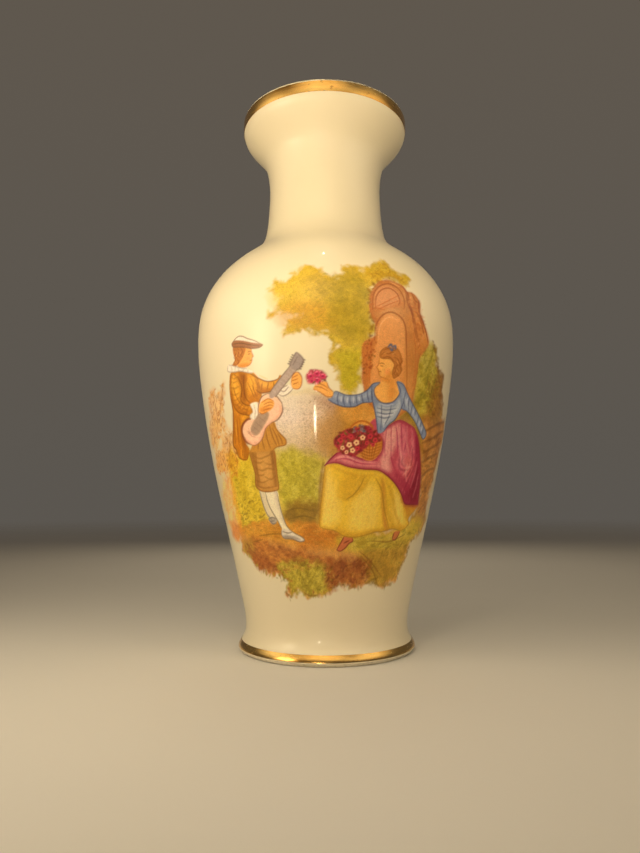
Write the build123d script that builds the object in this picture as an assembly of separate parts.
"""Baluster vase of glazed porcelain with gilt bands and an overglaze enamel picture.

The vase is turned about Z and stands on z = 0, with the picture facing -Y. Its section is drawn
as (radius, height). The glaze, the gilding and the enamel are thin films, so the section's free
outline is drawn at several growths and each film is what lies between two of them.
"""

from build123d import *

import os

# Overall height, and the thickness of each film, in millimetres
HEIGHT = 250.0
GLAZE = 0.25
GILT = 0.08
ENAMEL = 0.12
LIP_Z = HEIGHT - GLAZE

# Foot ring, and the recess under the base that the ring leaves
FOOT_OUTER_R = 38.1
FOOT_EDGE = (39.6, 1.5)
FOOT_INNER_R = 33.4
FOOT_BEVEL = 0.6
RECESS_DEPTH = 3.0
RECESS_CHAMFER = 1.2
BASE_GLAZE_Z = 1.0
FLOOR_Z = 8.5
FLOOR_CORNER_R = 7.6

# Roundings of the lip's two edges
LIP_ROUND = 0.8

# Gilt bands, as heights on the outside
RIM_BAND = (244.1, 248.9)
FOOT_BAND = (1.9, 4.7)

# Outside of the fired body, from the foot's edge to the lip
OUTSIDE = [FOOT_EDGE, (39.55, 2.1), (39.25, 2.9), (38.25, 4.6), (36.95, 7.2), (36.4, 10.5), (37.6, 20.0),
           (43.1, 44.0), (51.4, 80.0), (57.5, 115.0), (59.65, 138.0), (58.5, 152.0), (54.1, 163.0),
           (46.3, 173.0), (36.4, 181.0), (31.7, 185.2), (29.2, 189.5), (28.0, 194.0), (26.8, 206.0),
           (26.5, 215.0), (27.3, 224.0), (28.95, 229.8), (32.0, 234.2), (36.5, 239.2), (38.7, 242.4),
           (39.35, 245.5), (39.35, LIP_Z - LIP_ROUND)]

# Inside of the body, from the corner of the floor to the lip
INSIDE = [(33.9, FLOOR_Z + FLOOR_CORNER_R), (33.97, 18.0), (34.8, 26.0), (39.0, 44.0), (47.2, 80.0),
          (53.3, 115.0), (55.5, 138.0), (54.3, 151.0), (49.6, 161.5), (41.3, 170.5), (31.4, 178.8),
          (26.8, 184.0), (24.6, 190.0), (23.2, 198.0), (22.5, 208.0), (22.7, 218.0), (24.4, 228.0),
          (29.0, 235.0), (33.5, 240.2), (35.4, 244.5), (35.6, 247.0), (35.6, LIP_Z - LIP_ROUND)]

# Outlines of the enamel colours, seen from the front as (x, z). Each gives way to those before it.
GUITAR = [(-9.6, 124.0), (-7.6, 121.5), (-14.4, 109.5), (-15.8, 103.0), (-20.5, 97.0), (-25.0, 89.5),
          (-31.0, 89.0), (-33.8, 94.0), (-31.0, 99.5), (-27.0, 102.0), (-24.4, 108.3), (-20.3, 109.6),
          (-13.0, 120.5)]
MUSICIAN = [(-33.0, 132.0), (-23.0, 128.2), (-26.3, 119.5), (-18.5, 113.5), (-15.0, 110.5), (-18.5, 104.0),
            (-15.6, 91.0), (-19.3, 86.5), (-18.8, 70.0), (-16.2, 56.0), (-8.5, 51.2), (-9.5, 49.8),
            (-18.0, 51.5), (-26.3, 68.5), (-29.3, 72.0), (-31.5, 83.0), (-39.0, 85.5), (-38.2, 119.0),
            (-33.5, 123.0), (-36.2, 129.0)]
POSY = [(-7.0, 112.0), (-6.8, 115.5), (-3.0, 117.0), (0.8, 115.3), (0.9, 111.4), (-3.0, 110.2)]
BASKET = [(3.6, 89.5), (7.0, 93.0), (12.5, 97.0), (19.5, 95.0), (22.3, 88.0), (17.0, 82.0), (8.0, 83.5)]
LADY = [(24.0, 127.0), (27.8, 119.5), (27.2, 113.5), (35.0, 105.0), (43.0, 93.5), (38.2, 92.5),
        (39.8, 76.5), (39.6, 65.5), (36.6, 54.8), (28.0, 52.0), (10.0, 46.2), (4.0, 45.8), (6.4, 51.2),
        (-2.8, 56.2), (-1.6, 77.0), (4.0, 86.5), (19.0, 97.8), (17.8, 103.0), (8.5, 102.2), (-3.0, 107.8),
        (-4.0, 112.0), (3.5, 109.2), (11.0, 109.8), (18.8, 112.8), (17.7, 121.0)]
ARCH = [(16.6, 139.5), (17.3, 150.0), (23.0, 155.6), (29.4, 153.2), (34.6, 148.5), (40.5, 131.0),
        (42.4, 100.0), (36.0, 92.0), (27.0, 90.0), (24.0, 106.0), (14.2, 111.5), (15.6, 130.0)]
TREE = [(-19.5, 152.5), (-11.8, 157.0), (-4.5, 158.6), (2.5, 154.5), (9.5, 158.8), (15.5, 156.6),
        (21.8, 163.5), (26.2, 158.6), (32.6, 157.5), (31.5, 153.0), (20.0, 148.0), (17.5, 126.0),
        (11.0, 109.0), (5.8, 113.0), (2.4, 122.0), (3.2, 130.0), (-12.8, 132.8), (-11.0, 139.0),
        (-19.8, 143.0)]
LANDSCAPE = [(-46.0, 112.5), (-40.0, 104.0), (-42.0, 92.0), (-34.0, 88.0), (-26.0, 96.0), (-16.0, 104.0),
             (-6.0, 106.0), (8.0, 104.5), (24.0, 112.0), (36.0, 126.0), (42.3, 131.5), (51.6, 121.0),
             (53.8, 106.0), (51.0, 89.0), (46.5, 70.0), (42.0, 54.0), (36.0, 40.0), (26.0, 32.0),
             (14.0, 34.5), (2.0, 31.0), (-8.0, 29.5), (-16.0, 29.5), (-24.0, 35.0), (-34.0, 40.5),
             (-38.4, 50.5), (-42.5, 57.0), (-46.5, 74.0), (-50.2, 88.0), (-52.6, 101.0)]
PICTURE = [
    ("guitar_enamel", GUITAR),
    ("musician_enamel", MUSICIAN),
    ("posy_enamel", POSY),
    ("basket_enamel", BASKET),
    ("lady_enamel", LADY),
    ("archway_enamel", ARCH),
    ("tree_enamel", TREE),
    ("landscape_enamel", LANDSCAPE),
]
PICTURE_TOP = 170.0
PICTURE_BOTTOM = 24.0


def grown(points, growth):
    """The spline through the points, or a copy of it pushed off its right-hand side by growth."""
    curve = Spline(*points)
    pushed = [Vector(*p) + curve.tangent_at(Vector(*p)).rotate(Axis.Z, -90) * growth for p in points]
    return Spline(*pushed)


def outside(growth):
    """The outside curve, from the foot's edge to the lip."""
    return grown(OUTSIDE, growth)


def free_outline(growth):
    """Everything above the foot ring: outside, lip, inside and floor, ending on the axis."""
    outer = outside(growth)
    inner = grown(INSIDE, -growth)
    outer_top, inner_top = outer @ 1, inner @ 1
    lip = Line((OUTSIDE[-1][0] - LIP_ROUND, LIP_Z + growth), (INSIDE[-1][0] + LIP_ROUND, LIP_Z + growth))
    outer_round = TangentArc(outer_top, lip @ 0, tangent=(0, 1))
    inner_round = TangentArc(lip @ 1, inner_top, tangent=(-1, 0))
    floor = Line((0, FLOOR_Z + growth), (INSIDE[0][0] - FLOOR_CORNER_R, FLOOR_Z + growth))
    floor_corner = TangentArc(floor @ 1, inner @ 0, tangent=(1, 0))
    return [outer, outer_round, lip, inner_round, inner, floor_corner, floor]


def body_section():
    """Half of the fired body's section, closed by the foot ring and the recess under the base."""
    foot_edge = TangentArc((FOOT_OUTER_R, 0), FOOT_EDGE, tangent=(1, 0))
    base = Polyline(
        (0, FLOOR_Z),
        (0, RECESS_DEPTH),
        (FOOT_INNER_R - RECESS_CHAMFER, RECESS_DEPTH),
        (FOOT_INNER_R, RECESS_DEPTH - RECESS_CHAMFER),
        (FOOT_INNER_R, FOOT_BEVEL),
        (FOOT_INNER_R + FOOT_BEVEL, 0),
        (FOOT_OUTER_R, 0),
    )
    return make_face([*free_outline(0), *base.edges(), foot_edge])


def coat_section():
    """The glaze from the foot's edge over the lip to the middle of the floor inside."""
    foot_end = Line(FOOT_EDGE, outside(GLAZE) @ 0)
    axis_end = Line((0, FLOOR_Z), (0, FLOOR_Z + GLAZE))
    return make_face([*free_outline(0), *free_outline(GLAZE), foot_end, axis_end])


def base_glaze_section():
    """The glaze in the recess, down to the bare part of the foot ring."""
    chamfer = RECESS_CHAMFER
    corner = GLAZE * 0.414
    return Polygon(
        (0, RECESS_DEPTH),
        (FOOT_INNER_R - chamfer, RECESS_DEPTH),
        (FOOT_INNER_R, RECESS_DEPTH - chamfer),
        (FOOT_INNER_R, BASE_GLAZE_Z),
        (FOOT_INNER_R - GLAZE, BASE_GLAZE_Z),
        (FOOT_INNER_R - GLAZE, RECESS_DEPTH - chamfer - corner),
        (FOOT_INNER_R - chamfer - corner, RECESS_DEPTH - GLAZE),
        (0, RECESS_DEPTH - GLAZE),
        align=None,
    )


def outer_film(thickness, low_z, high_z):
    """The section of a film on the outside of the glaze, between two heights."""
    near = outside(GLAZE)
    far = outside(GLAZE + thickness)
    whole = make_face([near, far, Line(near @ 0, far @ 0), Line(near @ 1, far @ 1)])
    window = Pos(40, (low_z + high_z) / 2) * Rectangle(60, high_z - low_z)
    return whole & window


def turned(section):
    """A section turned through a full circle about the vase's axis."""
    return revolve(Plane.XZ * section, Axis.Z)


def main():
    os.makedirs("parts", exist_ok=True)
    nodes = {
        "porcelain_body": turned(body_section()),
        "glaze_coat": turned(coat_section()),
        "base_glaze": turned(base_glaze_section()),
        "rim_gilt_band": turned(outer_film(GILT, *RIM_BAND)),
        "foot_gilt_band": turned(outer_film(GILT, *FOOT_BAND)),
    }

    # The enamel is cut from one half shell, facing -Y, by each colour's outline carried through it
    enamel = outer_film(ENAMEL, PICTURE_BOTTOM, PICTURE_TOP)
    shell = revolve(Plane.XZ * enamel, Axis.Z.reverse(), 180)
    taken = Sketch()
    for name, points in PICTURE:
        patch = make_face(Polyline(*points, close=True)) - taken
        taken += patch
        nodes[name] = shell & extrude(Plane.XZ * patch, 80, dir=(0, -1, 0))

    for name, shape in nodes.items():
        print(name, len(shape.solids()), round(shape.volume, 2), shape.is_valid, shape.bounding_box().size)
        export_step(shape, f"parts/{name}.step")


main()
